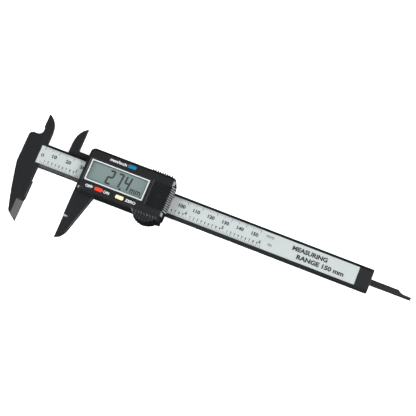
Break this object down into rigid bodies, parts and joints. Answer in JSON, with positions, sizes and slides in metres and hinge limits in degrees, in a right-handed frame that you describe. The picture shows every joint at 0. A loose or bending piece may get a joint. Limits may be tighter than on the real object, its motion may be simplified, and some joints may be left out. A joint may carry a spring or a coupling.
{
  "type": "digital caliper",
  "caption": "Plastic digital caliper, 150 mm range, slider set at 27.4 mm, with display, coloured buttons, sliding battery door and depth rod.",
  "frame": {"origin": "where the fixed outside measuring plane crosses the beam's centre line, on the plane that the caliper lies on", "axes": "+X along the beam towards the depth rod, +Y across the beam towards the inside jaws, +Z out of the display"},
  "size_m": [0.2677, 0.0751, 0.0151],
  "materials": {
    "black_plastic": "fine satin moulded surface",
    "printed_label": "satin silver-grey film with black print",
    "circuit_board": "solder resist",
    "clear_window": "clear, polished",
    "silver_frame": "bright satin",
    "white_plastic": "satin",
    "elastomer": "matt",
    "display_glass": "polished",
    "display_film": "greenish grey, satin",
    "plated_steel": "nickel plated",
    "brass": "drawn",
    "blue_button": "satin",
    "red_button": "satin",
    "cream_button": "satin"
  },
  "bodies": {
    "beam": {"beam": "black_plastic", "stator_board": "circuit_board", "scale_label": "printed_label"},
    "mm_inch_button": {"button_mm_inch": "blue_button", "plunger_mm_inch": "white_plastic"},
    "power_button": {"button_power": "red_button", "plunger_power": "white_plastic"},
    "zero_button": {"button_zero": "cream_button", "plunger_zero": "white_plastic"},
    "battery_door": {"battery_door": "black_plastic"},
    "slider": {"slider_frame": "black_plastic", "back_plate": "black_plastic", "front_cover": "black_plastic", "lens_window": "clear_window", "display_bezel": "silver_frame", "lcd_holder": "white_plastic", "zebra_strips": "elastomer", "lcd_reflector": "silver_frame", "lcd_rear_glass": "display_glass", "lcd_front_glass": "display_glass", "lcd_polariser": "display_film", "main_board": "circuit_board", "controller_blob": "black_plastic", "timing_crystal": "plated_steel", "tact_switches": "black_plastic", "board_screws": "plated_steel", "button_cell": "plated_steel", "contact_plus": "plated_steel", "contact_minus": "plated_steel", "gib_strip": "brass", "gib_screws": "plated_steel", "case_screws": "plated_steel", "depth_rod": "black_plastic"}
  },
  "joints": [
    {"name": "slider_slide", "type": "slide", "parent": "beam", "child": "slider", "axis": [1, 0, 0], "range_m": [-0.0274, 0.1226]},
    {"name": "mm_inch_press", "type": "slide", "parent": "slider", "child": "mm_inch_button", "axis": [0, 0, -1], "range_m": [0, 0.0004], "stiffness_N_per_m": 800, "springref_m": -0.0002},
    {"name": "power_press", "type": "slide", "parent": "slider", "child": "power_button", "axis": [0, 0, -1], "range_m": [0, 0.0004], "stiffness_N_per_m": 800, "springref_m": -0.0002},
    {"name": "zero_press", "type": "slide", "parent": "slider", "child": "zero_button", "axis": [0, 0, -1], "range_m": [0, 0.0004], "stiffness_N_per_m": 800, "springref_m": -0.0002},
    {"name": "battery_door_slide", "type": "slide", "parent": "slider", "child": "battery_door", "axis": [1, 0, 0], "range_m": [0, 0.014]}
  ]
}
